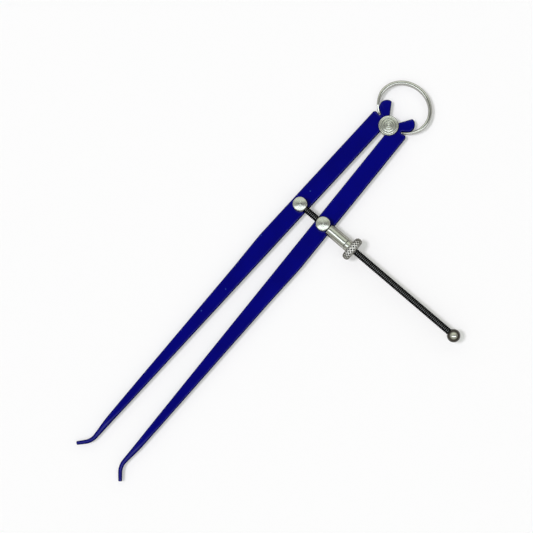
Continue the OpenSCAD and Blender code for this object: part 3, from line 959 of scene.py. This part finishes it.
# Studio

# The photograph's own right and up on the table
IMAGE_TURN = math.radians(40.678)
IMAGE_RIGHT = Vector((math.cos(IMAGE_TURN), math.sin(IMAGE_TURN), 0))
IMAGE_UP = Vector((-math.sin(IMAGE_TURN), math.cos(IMAGE_TURN), 0))


def make_camera():
    """Looks down on the table from a metre above, a little from the right leg's side and the toes'."""
    # Aim, place and lens were fitted to the legs' edges in the photograph
    aim = Vector((-0.000377, -0.10677, 0.0035))
    place = aim + Vector((0.075, -0.03, 1))
    back = (place - aim).normalized()
    right = (IMAGE_RIGHT - IMAGE_RIGHT.dot(back) * back).normalized()
    up = back.cross(right)
    camera = bpy.data.objects.new("camera", bpy.data.cameras.new("camera"))
    camera.data.lens, camera.data.sensor_width = 118.264, 36
    camera.data.clip_start, camera.data.clip_end = 0.05, 50
    camera.matrix_world = Matrix((right, up, back)).transposed().to_4x4()
    camera.location = place
    bpy.context.scene.collection.objects.link(camera)
    bpy.context.scene.camera = camera


def make_key():
    """A soft sun from the photograph's left. The world's soft boxes alone give the metal highlights."""
    light = bpy.data.lights.new("key", "SUN")
    light.energy, light.angle, light.color = 1.55, math.radians(10), (1, 0.967, 1.035)
    tilt = math.radians(19)
    direction = Vector((0, 0, math.cos(tilt))) - IMAGE_RIGHT * math.sin(tilt)
    key = bpy.data.objects.new("key", light)
    key.rotation_euler = direction.to_track_quat("Z", "Y").to_euler()
    key.visible_glossy = False
    bpy.context.scene.collection.objects.link(key)


def sky_patch(tree, direction, centre, size, soft):
    """Mask of an ellipse in the sky: 1 inside it, 0 past its soft edge. Units are sines of the lean."""
    parts = [
        add(tree, "ShaderNodeVectorMath", {0: direction, 1: axis}, operation="DOT_PRODUCT").outputs[1]
        for axis in (IMAGE_RIGHT, IMAGE_UP)
    ]
    squares = [
        maths(tree, "POWER", maths(tree, "DIVIDE", maths(tree, "SUBTRACT", p, c), s), 2.0)
        for p, c, s in zip(parts, centre, size)
    ]
    reach = maths(tree, "SQRT", maths(tree, "ADD", *squares))
    return ramp(tree, reach, 1 - soft, 1 + soft, 1.0, 0.0)


def make_world():
    """A grey tent over the table, with a long soft box below the lens and a dimmer one above it.

    The tent is darker on the photograph's right, and darkest round the lens.
    Each row is a patch of the sky: its centre and half size along the photograph's axes, as sines
    of the lean from straight up, its softness and its colour. Later rows lie over earlier ones.
    """
    world = bpy.data.worlds.new("studio")
    bpy.context.scene.world = world
    world.use_nodes = True
    tree = world.node_tree
    tree.nodes.clear()
    direction = add(tree, "ShaderNodeTexCoord").outputs["Generated"]
    patches = [
        ((0.0, 0.0), (0.88, 0.88), 0.1, tone(0.42, 0.43, 0.39)),
        ((0.6, 0.0), (0.25, 0.5), 0.3, tone(0.3, 0.3, 0.28)),
        ((0.0, 0.46), (0.6, 0.2), 0.3, tone(0.74, 0.78, 0.67)),
        ((0.0, -0.235), (0.6, 0.16), 0.2, tone(1.95, 2.05, 2.1)),
        ((0.0, 0.055), (0.3, 0.15), 0.3, tone(0.09, 0.09, 0.09)),
    ]
    colour = tone(0.3, 0.29, 0.26)
    for centre, size, soft, glow in patches:
        colour = mix(tree, sky_patch(tree, direction, centre, size, soft), colour, glow)
    background = add(tree, "ShaderNodeBackground", {"Color": colour, "Strength": 0.97})
    tree.links.new(background.outputs[0], add(tree, "ShaderNodeOutputWorld").inputs["Surface"])


def floor_material():
    """White to the lens and in reflections, and greyer in the light that it gives back.

    Three tenths of what the lens sees of it is plain white, so that the shadows on it stay pale.
    """
    material = bpy.data.materials.new("white_table")
    material.use_nodes = True
    tree = material.node_tree
    tree.nodes.clear()
    path = add(tree, "ShaderNodeLightPath").outputs
    seen = maths(tree, "ADD", path["Is Camera Ray"], path["Is Glossy Ray"])
    seen = maths(tree, "ADD", seen, path["Is Transmission Ray"], clamp=True)
    paper = mix(tree, seen, tone(0.45), tone(0.98))
    diffuse = add(tree, "ShaderNodeBsdfDiffuse", {"Color": paper}).outputs[0]
    white = add(tree, "ShaderNodeEmission", {"Color": tone(0.98), "Strength": 1.0}).outputs[0]
    share = maths(tree, "MULTIPLY", seen, 0.3)
    pale = add(tree, "ShaderNodeMixShader", {0: share, 1: diffuse, 2: white}).outputs[0]
    tree.links.new(pale, add(tree, "ShaderNodeOutputMaterial").inputs["Surface"])
    return material


def make_floor():
    """The table's top, four metres to each side."""
    half = 4.0
    mesh = bpy.data.meshes.new("floor")
    corner = [(-half, -half, 0), (half, -half, 0), (half, half, 0), (-half, half, 0)]
    mesh.from_pydata(corner, [], [(0, 1, 2, 3)])
    mesh.materials.append(floor_material())
    floor = bpy.data.objects.new("floor", mesh)
    bpy.context.scene.collection.objects.link(floor)


def dress(piece, material, body, node, sharp_degrees=45):
    """Gives a finished piece its shading, material, slot and body, and hides its node."""
    even_shading(piece, sharp_degrees)
    piece.data.materials.clear()
    piece.data.materials.append(material)
    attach(piece, body)
    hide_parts(node)


def make_studio():
    """Camera, light and table."""
    bpy.context.scene.view_settings.view_transform = "Standard"
    make_camera()
    make_world()
    make_key()
    make_floor()


def make_caliper():
    """All of the caliper's pieces, each in place of one node of the frame."""
    paint = paint_material()
    steel, disc, bright, ball = turned_steels()
    spring, knurl, black = spring_material(), knurl_material(), black_material()
    for side in ("left", "right"):
        swivel, post_washer = f"{side}_swivel", f"{side}_post_washer"
        dress(make_leg(side), paint, f"{side}_leg", f"{side}_leg", sharp_degrees=50)
        dress(make_post(side), steel, swivel, f"{side}_post")
        washer = make_washer(f"{side}_back_washer", post_washer, TAIL_R)
        dress(washer, steel, swivel, post_washer)
    dress(make_stud(), disc, "fulcrum", "fulcrum_stud")
    washer = make_washer("fulcrum_back_washer", "fulcrum_washer", STUD_TAIL_R)
    dress(washer, steel, "fulcrum", "fulcrum_washer")
    dress(make_sleeve(), bright, "sleeve", "thrust_sleeve")
    dress(make_ball(), ball, "left_swivel", "end_ball")
    dress(make_pin(), black, "left_swivel", "screw_lock_pin")
    dress(make_nut(), knurl, "nut", "adjusting_nut")
    dress(make_screw(), black, "left_swivel", "adjusting_screw")
    ring = make_ring()
    dress(ring, spring, "spring", "bow_spring")
    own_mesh(ring)


make_studio()
make_caliper()
